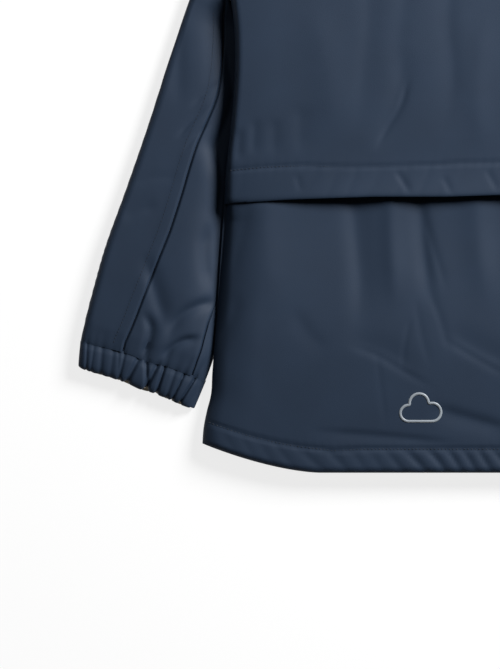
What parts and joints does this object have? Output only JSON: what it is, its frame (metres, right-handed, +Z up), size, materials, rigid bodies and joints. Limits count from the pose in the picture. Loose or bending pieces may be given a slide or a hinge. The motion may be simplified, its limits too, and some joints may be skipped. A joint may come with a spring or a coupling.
{
  "type": "child's pile-lined hooded parka, laid flat",
  "caption": "Child's hooded parka of coated cloth with a pile lining, laid flat with its back up: vented back flap, panelled sleeves, gathered cuffs and a stud front.",
  "frame": {"origin": "middle of the garment's outline on the surface that it lies on", "axes": "+Z up from the surface, out of the back of the garment; +Y from the hem to the hood; +X to the wearer's right"},
  "size_m": [0.6596, 0.836, 0.0268],
  "materials": {
    "shell": "satin coated cloth",
    "studs": "dark plated"
  },
  "bodies": {
    "root": {"back_upper": "shell", "back_lower": "shell", "front_left": "shell", "sleeve_left_top": "shell", "sleeve_left_under": "shell", "cuff_left": "shell", "hood_left": "shell", "front_right": "shell", "sleeve_right_top": "shell", "sleeve_right_under": "shell", "cuff_right": "shell", "hood_right": "shell", "press_stud_1": "studs", "press_stud_2": "studs", "press_stud_3": "studs", "press_stud_4": "studs", "press_stud_5": "studs"}
  },
  "joints": []
}
